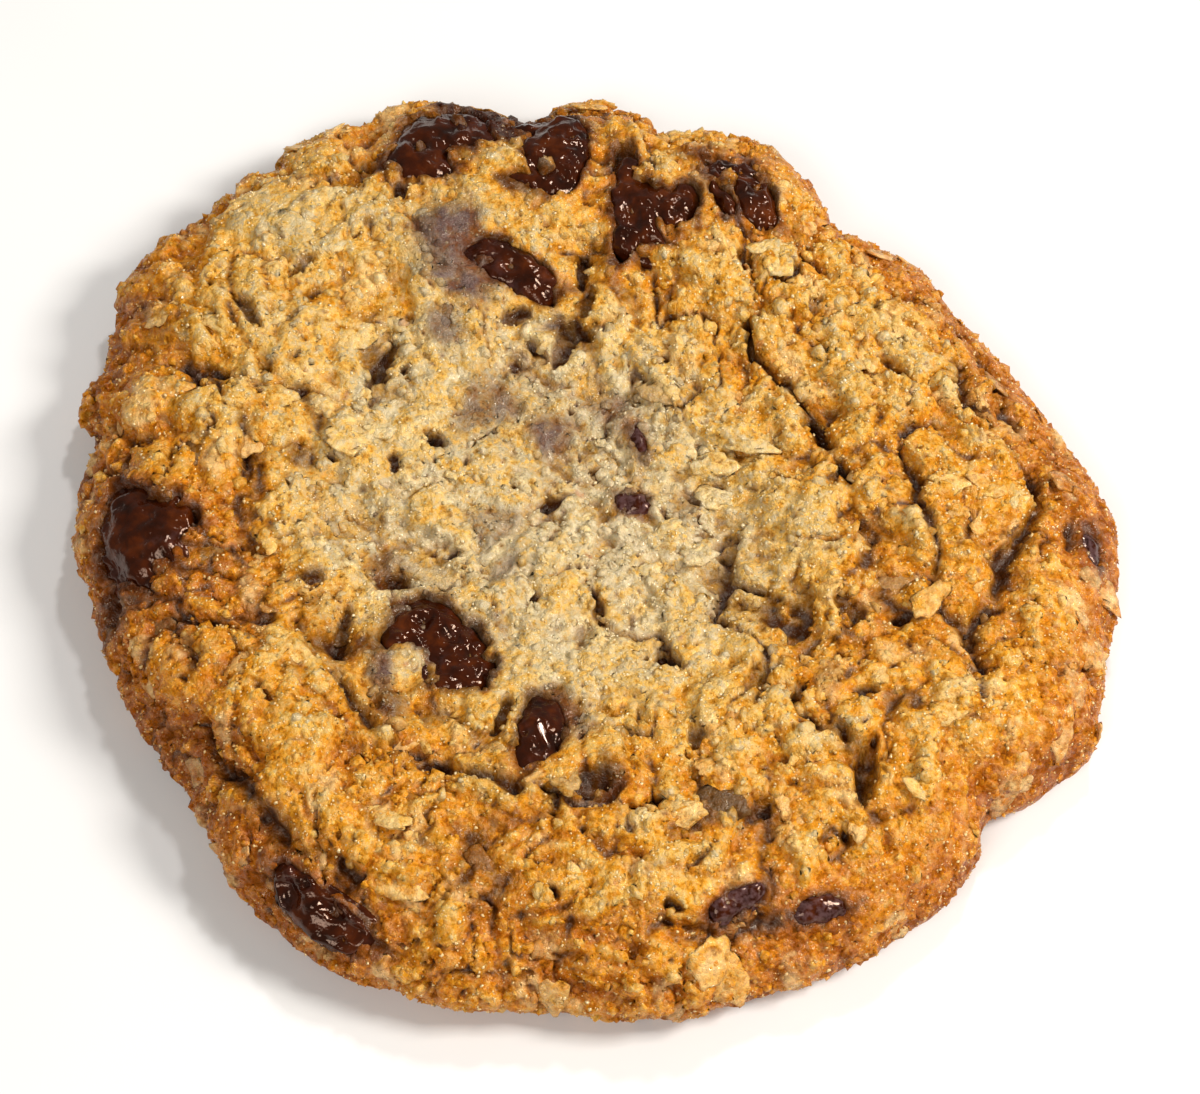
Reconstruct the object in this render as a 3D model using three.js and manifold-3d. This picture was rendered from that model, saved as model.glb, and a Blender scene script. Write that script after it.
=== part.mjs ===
// A baked oat cookie with pieces of dark chocolate, lying on its flat base.
// Millimetres, +Z up. The origin is under the middle of the cookie, on the surface it rests on.
import * as THREE from 'three';
import { mergeGeometries, mergeVertices } from 'three/addons/utils/BufferGeometryUtils.js';
import Module from 'manifold-3d';

const wasm = await Module();
wasm.setup();

// The outline seen from above: a mean radius, slow waves round the edge and single lobes and nicks.
const meanRadius = 45.5;
const edgeWaves = [ // waves round the edge, height in mm, angle of the crest in degrees
  [1, 2.0, 197],
  [2, 3.0, 125],
  [3, 1.4, 118],
  [4, 0.65, 76],
  [5, 0.5, 2],
];
const edgeLobes = [ // angle and half width in degrees, how far out in mm
  [3, 5, 0.5], [12, 5, -0.5], [42, 6, 0.9], [55, 5, -1.1], [70, 5.5, 1.1], [80.5, 3.5, -1.5],
  [88, 4, 0.9], [99, 3.5, -1.5], [111, 6, 0.6], [128, 2, -0.8], [146, 5, 0.7], [157, 3, -1.2],
  [169.5, 3, -1.4], [182, 7, 0.8], [217, 7, -1.3], [239, 8, 1.3], [265, 7, -1.1], [302, 6, 0.6],
  [309, 4, 0.6], [320, 3.5, -2.4], [332.5, 3.5, 1.5], [344, 4, -0.6],
];

// The section from the middle of the top, over the shoulder and down to the edge of the base:
// share of the outline's radius, height in mm.
const section = [
  [0, 11.0], [0.3, 11.0], [0.6, 11.35], [0.76, 11.1], [0.87, 9.9], [0.955, 7.3], [1, 4.3], [0.995, 1.8], [0.955, 0],
];
const sunkenMiddle = { x: -5, y: -1, radius: 28, depth: 2.0 };

// Relief of the crust: lumps of dough in two sizes, split from each other by crevices.
const lumpSizes = [ // width of a lump and height over its crevices in mm
  [14, 1.1],
  [7.5, 0.8],
];
const swell = { size: 21, height: 0.5 };
const grooves = [ // deep cracks and folds: half width, depth, then the points they run through
  { half: 0.9, depth: 1.1, points: [[-25, 22], [-28, 18], [-30, 15], [-31, 10], [-31, 3]] },
  { half: 1.1, depth: 1.2, points: [[-26, -13], [-20, -20], [-12, -27], [-2, -29], [1, -29]] },
  { half: 1.2, depth: 1.0, points: [[-36, -15], [-33, -25], [-27, -33], [-20, -37]] },
  { half: 1.2, depth: 1.3, points: [[-29, -35], [-24, -39], [-17, -43]] },
  { half: 0.9, depth: 1.1, points: [[13, 17], [18, 8], [22, 0], [23, -4], [21, -10]] },
  { half: 0.9, depth: 1.0, points: [[17, -20], [21, -25], [21, -31]] },
  { half: 1.1, depth: 1.1, points: [[31, 15], [34, 8], [37, 2], [39, -6]] },
  { half: 1.0, depth: 1.0, points: [[30, 5], [33, -2], [35, -7], [30, -14]] },
  { half: 0.8, depth: 0.9, points: [[4, -13], [7, -17]] },
];

// Chocolate pieces: place seen from above, length, width and depth, turn of the length in degrees.
const chocolatePieces = [
  { name: 'chocolate_far_left', x: -14.6, y: 38.2, length: 10.5, width: 8.0, depth: 5.0, turn: 75 },
  { name: 'chocolate_far_middle', x: -4.9, y: 36.6, length: 10.5, width: 7.0, depth: 5.0, turn: 80 },
  { name: 'chocolate_far_right', x: 4.4, y: 30.2, length: 10.2, width: 7.2, depth: 5.0, turn: 72 },
  { name: 'chocolate_far_edge', x: 13.4, y: 32.4, length: 8.4, width: 6.2, depth: 4.6, turn: -50 },
  { name: 'chocolate_upper', x: -7.9, y: 23.8, length: 7.4, width: 4.8, depth: 4.0, turn: -18 },
  { name: 'chocolate_left_rim', x: -40.2, y: -3.6, length: 10.6, width: 8.8, depth: 4.6, turn: 72 },
  { name: 'chocolate_lower', x: -13.6, y: -14.4, length: 9.4, width: 6.4, depth: 4.6, turn: -48 },
  { name: 'chocolate_small_upright', x: -4.9, y: -23.2, length: 7.0, width: 4.0, depth: 4.0, turn: 78 },
  { name: 'chocolate_near_rim', x: -23.2, y: -38.6, length: 9.6, width: 4.4, depth: 3.4, turn: -36 },
];
const proud = 0.35; // how far a piece stands above the dough
const gap = 0.3; // between a piece and the dough round it
const boxiness = 3.2; // 2 is an ellipsoid, more is a block with rounded edges
const pieceDetail = 2; // how finely its faces are split

// Small chips of chocolate and the largest oat flakes are one with the dough: their places.
const chips = [ // x, y, length, width, turn
  [11.8, -39.3, 4.6, 2.0, 30],
  [18.3, -39.6, 4.4, 2.0, 12],
  [3.6, 6.5, 2.8, 1.6, -60],
  [3.0, 0.5, 2.6, 1.8, 0],
  [43.0, -3.5, 3.4, 2.2, 80],
];
const chipDepth = 1.8;
const flake = { count: 14, length: 5.2, width: 3.4, thickness: 1.0, tilt: 24 };

const gridSteps = 60; // squares across the surface of the dough
const doughColour = '#cf9a52';
const chocolateColour = '#2a120b';

const radians = THREE.MathUtils.degToRad;
const smooth = THREE.MathUtils.smoothstep;

// A repeatable number from 0 to 1 for each cell of a square grid.
function cellValue(i, j, seed) {
  const wave = Math.sin(i * 127.1 + j * 311.7 + seed * 74.7) * 43758.5453;
  return wave - Math.floor(wave);
}

// Soft hills and dips from -1 to 1, a cell wide: the cells' numbers blended smoothly.
function softNoise(x, y, seed) {
  const i = Math.floor(x);
  const j = Math.floor(y);
  const u = smooth(x - i, 0, 1);
  const v = smooth(y - j, 0, 1);
  const near = THREE.MathUtils.lerp(cellValue(i, j, seed), cellValue(i + 1, j, seed), u);
  const far = THREE.MathUtils.lerp(cellValue(i, j + 1, seed), cellValue(i + 1, j + 1, seed), u);
  return 2 * THREE.MathUtils.lerp(near, far, v) - 1;
}

// Lumps, one to a cell: 0 in the crevices between them, rising to 1. It is the difference of the
// distances to the nearest two of a set of points, one placed by chance in each cell.
function lumpNoise(x, y, seed) {
  let nearest = 9;
  let second = 9;
  for (let i = Math.floor(x) - 1; i <= Math.floor(x) + 1; i += 1) {
    for (let j = Math.floor(y) - 1; j <= Math.floor(y) + 1; j += 1) {
      const away = Math.hypot(i + cellValue(i, j, seed) - x, j + cellValue(i, j, seed + 1) - y);
      second = Math.min(second, Math.max(nearest, away));
      nearest = Math.min(nearest, away);
    }
  }
  return smooth(second - nearest, -0.1, 0.9);
}

// Radius of the outline at an angle in radians. The lobes fade out towards the middle.
function outlineRadius(angle, share) {
  let radius = meanRadius;
  for (const [count, height, crest] of edgeWaves) {
    radius += height * Math.cos(count * (angle - radians(crest)));
  }
  const lobeShare = smooth(share, 0.45, 0.85);
  for (const [place, half, out] of edgeLobes) {
    const off = THREE.MathUtils.euclideanModulo(THREE.MathUtils.radToDeg(angle) - place + 180, 360) - 180;
    radius += lobeShare * out * Math.exp(-((off / half) ** 2));
  }
  return radius;
}

const sectionCurve = new THREE.SplineCurve(
  section.map(([share, height]) => new THREE.Vector2(share * meanRadius, height)),
);
const surfaceReach = sectionCurve.getLength(); // from the middle to the base's edge, along the surface

// Distance from a point to a line through several points, all seen from above.
function distanceToPath(x, y, points) {
  const here = new THREE.Vector3(x, y, 0);
  const closest = new THREE.Vector3();
  let least = Infinity;
  for (let i = 1; i < points.length; i += 1) {
    const start = new THREE.Vector3(points[i - 1][0], points[i - 1][1], 0);
    const end = new THREE.Vector3(points[i][0], points[i][1], 0);
    new THREE.Line3(start, end).closestPointToPoint(here, true, closest);
    least = Math.min(least, closest.distanceTo(here));
  }
  return least;
}

// The plain form without relief, at a share of the way from the middle to the base's edge.
function plainPoint(share, angle) {
  const at = Math.min(Math.max(share, 0.0001), 0.9999);
  const spot = share >= 1 ? sectionCurve.getPoint(1) : sectionCurve.getPointAt(at);
  const stretch = outlineRadius(angle, share) / meanRadius;
  const x = spot.x * stretch * Math.cos(angle);
  const y = spot.x * stretch * Math.sin(angle);
  const away = Math.hypot(x - sunkenMiddle.x, y - sunkenMiddle.y) / sunkenMiddle.radius;
  const sink = sunkenMiddle.depth * (1 - smooth(away, 0.4, 1.12)) * (share < 0.8 ? 1 : 0);
  return new THREE.Vector3(x, y, spot.y - sink);
}

// The way out of the plain form, from two points close beside the one given.
function plainNormal(share, angle) {
  const step = 0.01;
  const inner = plainPoint(Math.max(share - step, 0.0001), angle);
  const outer = plainPoint(Math.min(share + step, 0.9999), angle);
  const along = outer.sub(inner).normalize();
  const round = new THREE.Vector3(-Math.sin(angle), Math.cos(angle), 0);
  return along.cross(round).normalize();
}

// Where a point seen from above lies on the plain form: its share of the way out, and its angle.
function placeOnForm(x, y) {
  const angle = Math.atan2(y, x);
  const wanted = Math.hypot(x, y);
  let low = 0;
  let high = 0.86; // past this the side turns back under itself
  for (let pass = 0; pass < 24; pass += 1) {
    const middle = (low + high) / 2;
    const point = plainPoint(middle, angle);
    if (Math.hypot(point.x, point.y) < wanted) {
      low = middle;
    } else {
      high = middle;
    }
  }
  return { share: (low + high) / 2, angle };
}

// How far a point lies from a chocolate piece's middle, seen from above: 1 at its own edge.
function reachFromPiece(x, y, piece) {
  const turn = radians(piece.turn);
  const along = (x - piece.x) * Math.cos(turn) + (y - piece.y) * Math.sin(turn);
  const across = (y - piece.y) * Math.cos(turn) - (x - piece.x) * Math.sin(turn);
  return Math.hypot(along / (piece.length / 2), across / (piece.width / 2));
}

// Height of the crust's relief over the plain form, in mm.
function relief(x, y, share, angle) {
  const flatX = share * surfaceReach * Math.cos(angle);
  const flatY = share * surfaceReach * Math.sin(angle);
  let height = swell.height * softNoise(flatX / swell.size, flatY / swell.size, 3);
  lumpSizes.forEach(([size, rise], level) => {
    height += rise * (lumpNoise(flatX / size, flatY / size, 10 + 2 * level) - 0.6);
  });
  for (const groove of grooves) {
    height -= groove.depth * Math.exp(-((distanceToPath(x, y, groove.points) / groove.half) ** 2));
  }
  for (const piece of chocolatePieces) {
    const reach = reachFromPiece(x, y, piece);
    height = height * smooth(reach, 0.8, 1.3) - gap * (1 - smooth(reach, 0.9, 1.2));
  }
  return height * (1 - smooth(share, 0.9, 0.98));
}

// The finished crust at a share of the way out: the plain form moved along its normal by the relief.
function crustPoint(share, angle) {
  const point = plainPoint(share, angle);
  const height = relief(point.x, point.y, share, angle);
  return point.addScaledVector(plainNormal(share, angle), height);
}

// A square point (a, b) from -1 to 1 becomes a share of the way out and an angle: rings of the square
// become rings of the disc, so the squares stay nearly even.
function squareToRing(a, b) {
  if (a === 0 && b === 0) {
    return [0, 0];
  }
  if (Math.abs(a) > Math.abs(b)) {
    return [Math.abs(a), (a < 0 ? Math.PI : 0) + (Math.PI / 4) * (b / a)];
  }
  return [Math.abs(b), (b < 0 ? 1.5 : 0.5) * Math.PI - (Math.PI / 4) * (a / b)];
}

// Leaves only the position attribute and joins the vertices that share a place.
function closedMesh(geometry) {
  const bare = new THREE.BufferGeometry();
  bare.setAttribute('position', geometry.getAttribute('position'));
  bare.setIndex(geometry.getIndex());
  return mergeVertices(bare, 0.0005);
}

function toSolid(geometry) {
  const closed = closedMesh(geometry);
  return new wasm.Manifold(new wasm.Mesh({
    numProp: 3,
    vertProperties: new Float32Array(closed.getAttribute('position').array),
    triVerts: new Uint32Array(closed.getIndex().array),
  }));
}

function fromSolid(solid) {
  const mesh = solid.getMesh();
  const geometry = new THREE.BufferGeometry();
  geometry.setAttribute('position', new THREE.BufferAttribute(mesh.vertProperties, 3));
  geometry.setIndex(new THREE.BufferAttribute(mesh.triVerts, 1));
  geometry.computeVertexNormals();
  return geometry;
}

// The crust as a square sheet wrapped over the top and down the sides, and a flat base across its edge.
function doughSolid() {
  const sheet = new THREE.PlaneGeometry(2, 2, gridSteps, gridSteps);
  const position = sheet.getAttribute('position');
  for (let i = 0; i < position.count; i += 1) {
    const [share, angle] = squareToRing(position.getX(i), position.getY(i));
    const point = crustPoint(share, angle);
    position.setXYZ(i, point.x, point.y, point.z);
  }
  const last = gridSteps;
  const across = gridSteps + 1;
  const edge = [];
  for (let k = 0; k < last; k += 1) edge.push(k);
  for (let k = 0; k < last; k += 1) edge.push(last + k * across);
  for (let k = 0; k < last; k += 1) edge.push(across * across - 1 - k);
  for (let k = 0; k < last; k += 1) edge.push((last - k) * across);
  const rim = edge.map((i) => new THREE.Vector2(position.getX(i), position.getY(i)));
  const base = new THREE.ShapeGeometry(new THREE.Shape(rim));
  const index = base.getIndex();
  for (let i = 0; i < index.count; i += 3) { // the base faces down
    const swap = index.getX(i);
    index.setX(i, index.getX(i + 1));
    index.setX(i + 1, swap);
  }
  sheet.deleteAttribute('normal');
  sheet.deleteAttribute('uv');
  base.deleteAttribute('normal');
  base.deleteAttribute('uv');
  return toSolid(mergeGeometries([sheet, base]));
}

// A rounded block of the given length, width and depth, with uneven sides.
function blockGeometry(length, width, depth, detail, seed) {
  const geometry = closedMesh(new THREE.IcosahedronGeometry(1, detail));
  const position = geometry.getAttribute('position');
  const half = new THREE.Vector3(length / 2, width / 2, depth / 2);
  const point = new THREE.Vector3();
  for (let i = 0; i < position.count; i += 1) {
    point.fromBufferAttribute(position, i);
    const sum = Math.abs(point.x) ** boxiness + Math.abs(point.y) ** boxiness + Math.abs(point.z) ** boxiness;
    const uneven = 1 + 0.1 * softNoise(1.6 * point.x + 5, 1.6 * point.y + point.z, seed);
    point.multiplyScalar(uneven / sum ** (1 / boxiness)).multiply(half);
    position.setXYZ(i, point.x, point.y, point.z);
  }
  return geometry;
}

// Lays a block on the crust: turned about its own height, leant with the crust and lifted along it.
function layOnCrust(geometry, x, y, turn, lift) {
  const { share, angle } = placeOnForm(x, y);
  const normal = plainNormal(share, angle);
  const lean = new THREE.Quaternion().setFromUnitVectors(new THREE.Vector3(0, 0, 1), normal);
  geometry.rotateZ(radians(turn));
  geometry.applyQuaternion(lean);
  const place = plainPoint(share, angle).addScaledVector(normal, lift);
  geometry.translate(place.x, place.y, place.z);
  return geometry;
}

function chocolateGeometry(piece, seed, grow) {
  const geometry = blockGeometry(piece.length, piece.width, piece.depth, pieceDetail, seed);
  if (grow > 0) {
    geometry.scale(1 + 2 * grow / piece.length, 1 + 2 * grow / piece.width, 1 + 2 * grow / piece.depth);
  }
  return layOnCrust(geometry, piece.x, piece.y, piece.turn, proud - piece.depth / 2);
}

function clearOfPieces(x, y, margin) {
  return chocolatePieces.every((piece) => reachFromPiece(x, y, piece) > 1 + margin);
}

// The dough with its small chips and largest flakes fused on, and a pocket for each chocolate piece.
function cookieDough() {
  let dough = doughSolid();
  chips.forEach(([x, y, length, width, turn], seed) => {
    dough = dough.add(toSolid(layOnCrust(blockGeometry(length, width, chipDepth, 1, seed), x, y, turn, -0.2)));
  });
  const goldenAngle = Math.PI * (3 - Math.sqrt(5));
  for (let k = 0; k < flake.count; k += 1) {
    const out = meanRadius * 0.88 * Math.sqrt((k + 0.5) / flake.count);
    const x = out * Math.cos(k * goldenAngle);
    const y = out * Math.sin(k * goldenAngle);
    if (clearOfPieces(x, y, 0.9)) {
      const shape = blockGeometry(flake.length, flake.width, flake.thickness, 1, 40 + k);
      shape.rotateX(radians(flake.tilt * (2 * cellValue(k, 1, 5) - 1)));
      const { share, angle } = placeOnForm(x, y);
      dough = dough.add(toSolid(layOnCrust(shape, x, y, 360 * cellValue(k, 2, 5), relief(x, y, share, angle))));
    }
  }
  chocolatePieces.forEach((piece, seed) => {
    dough = dough.subtract(toSolid(chocolateGeometry(piece, seed, gap)));
  });
  return fromSolid(dough);
}

function doughMaterial() {
  return new THREE.MeshStandardMaterial({ color: doughColour, roughness: 0.8, metalness: 0 });
}

function chocolateMaterial() {
  return new THREE.MeshStandardMaterial({ color: chocolateColour, roughness: 0.25, metalness: 0 });
}

function namedMesh(name, geometry, material) {
  const mesh = new THREE.Mesh(geometry, material);
  mesh.name = name;
  return mesh;
}

const cookie = new THREE.Group();
cookie.add(namedMesh('cookie_dough', cookieDough(), doughMaterial()));
chocolatePieces.forEach((piece, seed) => {
  cookie.add(namedMesh(piece.name, chocolateGeometry(piece, seed, 0), chocolateMaterial()));
});

// The outline is uneven, so the whole is moved until its box is centred over the origin.
const box = new THREE.Box3().setFromObject(cookie);
const centre = box.getCenter(new THREE.Vector3());
cookie.position.set(-centre.x, -centre.y, -box.min.z);

export default cookie;
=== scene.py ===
# A baked oat cookie with dark chocolate pieces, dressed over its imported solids. Shapes are worked out in mm.
import math

import bpy
import numpy as np
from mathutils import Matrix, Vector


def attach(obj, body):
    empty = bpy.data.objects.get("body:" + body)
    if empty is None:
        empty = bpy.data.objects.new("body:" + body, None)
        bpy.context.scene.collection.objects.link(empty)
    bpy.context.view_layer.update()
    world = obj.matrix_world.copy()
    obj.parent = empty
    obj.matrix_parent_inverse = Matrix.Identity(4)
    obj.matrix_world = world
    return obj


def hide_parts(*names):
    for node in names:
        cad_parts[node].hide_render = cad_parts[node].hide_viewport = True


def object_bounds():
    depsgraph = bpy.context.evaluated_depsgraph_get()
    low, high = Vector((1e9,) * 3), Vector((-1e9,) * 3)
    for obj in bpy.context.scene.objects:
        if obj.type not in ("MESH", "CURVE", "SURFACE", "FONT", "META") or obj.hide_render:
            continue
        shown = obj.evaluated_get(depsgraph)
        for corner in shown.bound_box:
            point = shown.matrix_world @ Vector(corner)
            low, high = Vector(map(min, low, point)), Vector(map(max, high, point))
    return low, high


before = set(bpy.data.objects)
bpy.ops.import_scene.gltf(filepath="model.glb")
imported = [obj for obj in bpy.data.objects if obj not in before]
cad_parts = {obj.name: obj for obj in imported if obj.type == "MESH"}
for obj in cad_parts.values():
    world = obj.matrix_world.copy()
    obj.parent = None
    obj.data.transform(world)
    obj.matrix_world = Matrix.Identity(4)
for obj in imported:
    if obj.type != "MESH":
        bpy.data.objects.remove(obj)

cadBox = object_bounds()
mm = 0.001
print("frame loaded:", len(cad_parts), "nodes")

# The plain form: the same outline and section as the solids.
form = {
    "meanRadius": 45.5,
    "edgeWaves": [(1, 2.0, 197), (2, 3.0, 125), (3, 1.4, 118), (4, 0.65, 76), (5, 0.5, 2)],
    "edgeLobes": [  # angle and half width in degrees, how far out in mm
        (3, 5, 0.5), (12, 5, -0.5), (42, 6, 0.9), (55, 5, -1.1), (70, 5.5, 1.1), (80.5, 3.5, -1.5),
        (88, 4, 0.9), (99, 3.5, -1.5), (111, 6, 0.6), (128, 2, -0.8), (146, 5, 0.7), (157, 3, -1.2),
        (169.5, 3, -1.4), (182, 7, 0.8), (217, 7, -1.3), (239, 8, 1.3), (265, 7, -1.1), (302, 6, 0.6),
        (309, 4, 0.6), (320, 3.5, -2.4), (332.5, 3.5, 1.5), (344, 4, -0.6),
    ],
    "section": [  # share of the outline's radius, height
        (0, 11.0), (0.3, 11.0), (0.6, 11.35), (0.76, 11.1), (0.87, 9.9), (0.955, 7.3), (1, 4.3),
        (0.995, 1.8), (0.955, 0),
    ],
    "sunken": {"x": -5, "y": -1, "radius": 28, "depth": 2.0},
}

# Long cracks and folds: half width, depth, points seen from above.
grooves = [
    (0.7, 1.5, [(-25, 22), (-28, 18), (-30, 15), (-31, 10), (-31, 3)]),
    (0.9, 1.5, [(-26, -13), (-20, -20), (-12, -27), (-2, -29), (1, -29)]),
    (1.1, 1.2, [(-36, -15), (-33, -25), (-27, -33), (-20, -37)]),
    (1.1, 1.6, [(-29, -35), (-24, -39), (-17, -43)]),
    (0.6, 1.5, [(13, 17), (15, 13), (18, 8), (21, 2.5), (23, -3), (22, -9), (21.5, -13)]),
    (0.7, 1.3, [(17, -20), (21, -25), (21, -31)]),
    (1.0, 1.5, [(31, 15), (34, 10), (36.3, 5), (37.7, 1), (36.3, -5.4), (34.8, -9), (32, -14)]),
    (0.6, 1.2, [(25.5, 13), (27, 4), (28.7, -9), (31.6, -12), (31.2, -20)]),
    (0.8, 1.0, [(27, 22), (32, 19), (37, 11), (40, 4), (41, -3)]),
    (0.6, 1.1, [(12, -6), (10, -12), (14, -16), (13, -22)]),
    (0.45, 1.2, [(0, -11), (1, -14), (4, -13), (7, -17)]),
    (0.5, 1.1, [(-7, 0), (-3, 1.5)]),
    (0.6, 1.1, [(-19.5, 15), (-19.5, 11)]),
    (0.6, 1.1, [(-3, 18), (-1, 16)]),
    (0.6, 1.0, [(15, -12), (16, -16), (14, -18)]),
]

# Hollows seen from above: x, y, length, width, turn, depth, how dark the painted shade in them is.
hollows = [
    (-1.5, 24.1, 4.2, 1.3, 88, 1.3, 0.9), (-0.9, 20.6, 3.2, 1.6, 65, 1.3, 0.8),
    (-3.0, 16.6, 5.4, 1.9, 66, 1.3, 0.8), (-19.0, 13.6, 6.2, 1.4, 66, 1.3, 0.8),
    (13.2, 16.3, 5.4, 1.2, -80, 1.2, 0.9), (5.6, 15.0, 2.4, 1.2, 10, 1.0, 0.8),
    (-7.5, 19.4, 2.0, 1.3, 20, 1.0, 0.9), (-17.6, 33.0, 5.0, 1.0, 70, 1.0, 0.7),
    (-14.2, 6.6, 1.4, 1.1, -20, 1.2, 1.0), (-23.0, 4.8, 0.9, 0.8, 0, 1.0, 1.0),
    (-17.7, 4.5, 1.7, 0.9, 70, 1.1, 1.0), (-12.0, -4.3, 2.0, 0.7, 20, 1.1, 1.0),
    (-3.6, 1.0, 4.0, 0.9, 18, 1.2, 1.0), (-4.4, -13.9, 1.2, 1.0, 0, 1.1, 1.0),
    (-5.6, -9.4, 1.1, 0.9, 60, 1.0, 0.9), (0.0, -9.8, 3.0, 0.8, -70, 1.1, 0.9),
    (5.9, -15.8, 2.2, 1.2, -45, 1.3, 1.0), (-17.6, -7.4, 3.4, 2.2, 30, 0.8, 0.5),
    (-24.8, -8.0, 3.0, 1.7, 10, 1.2, 0.8), (-21.6, -13.0, 6.2, 1.3, 85, 1.1, 0.7),
    (-21.4, -2.7, 2.0, 0.8, -40, 1.0, 0.9), (8.5, 0.8, 2.6, 1.6, -40, 0.8, 0.5),
    (11.0, -4.2, 3.6, 1.8, 80, 1.0, 0.5), (12.5, -8.2, 3.0, 1.0, -25, 1.1, 0.8),
    (16.8, -11.2, 5.6, 2.2, 76, 1.2, 0.55), (13.0, -18.4, 5.4, 1.4, 62, 1.1, 0.6),
    (16.9, -19.2, 2.2, 1.0, 80, 1.1, 0.8), (21.5, -11.0, 2.8, 1.6, -25, 1.1, 0.8),
    (26.0, -11.8, 2.0, 1.2, 30, 1.1, 0.9), (22.7, -19.4, 2.4, 1.1, 10, 1.2, 1.0),
    (22.6, -26.8, 6.0, 2.0, 85, 1.3, 0.7), (20.6, -16.0, 1.1, 0.9, 0, 1.1, 1.0),
    (-0.6, -28.4, 3.2, 2.4, 40, 1.4, 0.95), (4.1, -30.4, 3.2, 0.9, 18, 1.2, 1.0),
    (-8.1, -21.7, 3.0, 1.4, 70, 1.2, 0.9), (8.0, -24.0, 1.9, 1.3, 60, 1.1, 0.8),
    (14.0, -31.0, 1.6, 1.1, 0, 1.1, 0.9), (6.4, -40.0, 2.6, 1.2, -15, 1.2, 1.0),
    (-1.1, -33.2, 1.3, 1.0, 90, 1.0, 0.9), (18.7, 7.6, 1.8, 1.6, 0, 1.3, 1.0),
    (21.4, 2.4, 3.4, 1.2, -62, 1.2, 0.9), (28.7, -8.8, 1.8, 1.0, -20, 1.1, 0.9),
    (10.6, 22.0, 1.4, 1.0, 30, 1.0, 0.9), (4.9, 37.4, 1.1, 0.8, 0, 0.9, 0.9),
    (-31.0, 19.0, 4.0, 1.1, -60, 1.1, 0.8), (-26.5, 24.0, 3.4, 0.9, 50, 1.0, 0.7),
    (-35.5, 12.5, 2.4, 1.0, 60, 1.0, 0.7), (-28.0, -20.0, 3.0, 1.0, -50, 1.0, 0.7),
]

# Chocolate pieces: place, length, width and depth as in the solids. Each shows through torn openings
# (x, y, length, width, turn), and dough lies over it at its covers (x, y, radius). The more bare, the fewer
# crumbs lie on it. Swell and wrinkles shape its top, and its bloom is how dusty it is and, on the small chips,
# also a painted sheen. Lower moves it so many mm down the side, and a facet is a smooth strip along a line
# that catches the light.
chocolatePieces = [
    {"name": "chocolate_far_left", "at": (-14.6, 38.2), "size": (10.5, 8.0, 5.0), "turn": 75,
     "shown": [(-15.6, 38.0, 7.4, 6.0, 75), (-11.8, 38.9, 4.4, 3.4, 30), (-12.4, 42.2, 4.0, 2.2, -10)],
     "cover": [(-12.0, 36.2, 1.2)]},
    {"name": "chocolate_far_middle", "at": (-4.9, 36.6), "size": (10.5, 7.0, 5.0), "turn": 80,
     "shown": [(-4.0, 36.4, 9.2, 5.0, 76), (-6.6, 33.2, 3.0, 2.2, 0), (-5.0, 41.0, 6.0, 2.0, 0)],
     "cover": [(-4.6, 35.0, 0.9), (-2.2, 38.6, 0.8)]},
    {"name": "chocolate_far_right", "at": (4.4, 30.2), "size": (10.2, 7.2, 5.0), "turn": 72,
     "shown": [(4.6, 30.2, 6.8, 6.4, 10), (2.3, 34.6, 6.6, 1.8, 86), (2.2, 26.4, 4.6, 1.7, 72),
               (7.4, 30.6, 4.4, 3.0, 80)],
     "cover": [(6.2, 27.4, 1.1), (5.4, 33.6, 0.9)]},
    {"name": "chocolate_far_edge", "at": (13.4, 32.4), "size": (8.4, 6.2, 4.6), "turn": -50,
     "shown": [(14.2, 32.2, 7.6, 5.0, -62), (11.6, 35.0, 5.4, 3.4, -30), (11.2, 31.4, 3.4, 2.0, -50)],
     "cover": [(11.7, 33.6, 0.9)]},
    {"name": "chocolate_upper", "at": (-7.9, 23.8), "size": (7.4, 4.8, 4.0), "turn": -18,
     "bare": 0.9, "shown": [(-7.4, 23.5, 8.4, 3.9, -32)], "cover": [(-10.4, 24.6, 0.8)]},
    {"name": "chocolate_left_rim", "at": (-40.2, -3.6), "size": (10.6, 8.8, 4.6), "turn": 72, "bare": 1.1,
     "shown": [(-40.4, -3.4, 9.8, 8.2, 72), (-42.0, -8.6, 4.2, 2.2, 80), (-36.8, -2.4, 3.4, 2.0, 10)],
     "cover": [(-37.4, -7.6, 1.6)]},
    {"name": "chocolate_lower", "at": (-13.6, -14.4), "size": (9.4, 6.4, 4.6), "turn": -48,
     "bare": 0.85, "shown": [(-13.4, -14.0, 10.6, 6.6, -48), (-17.2, -13.6, 3.6, 3.2, 30)],
     "cover": [(-16.2, -17.0, 2.7)]},
    {"name": "chocolate_small_upright", "at": (-4.9, -23.2), "size": (7.0, 4.0, 4.0), "turn": 78,
     "bare": 1.1, "swell": 0.45, "wrinkles": 0.35, "shown": [(-4.9, -23.3, 7.8, 3.8, 78)], "cover": [],
     "facet": {"line": [(-4.9, -22.9), (-4.5, -24.4), (-3.6, -26.2)], "half": 0.42, "lean": (0.144, 0.049),
               "level": 0.0}},
    {"name": "chocolate_near_rim", "at": (-23.2, -38.6), "size": (9.6, 4.4, 3.4), "turn": -36,
     "bare": 0.6, "swell": 0.2, "lower": 1.3, "shown": [(-23.4, -38.4, 10.0, 3.8, -38)],
     "cover": [(-21.6, -38.2, 1.1), (-25.2, -36.6, 1.2), (-19.6, -40.2, 0.9)]},
]
smallChips = [  # x, y, length, width, turn
    (11.8, -39.3, 4.6, 2.0, 30),
    (18.3, -39.6, 4.4, 2.0, 12),
    (3.6, 6.5, 2.8, 1.6, -60),
    (3.0, 0.5, 2.6, 1.8, 0),
    (43.0, -3.5, 3.4, 2.2, 80),
]
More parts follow.
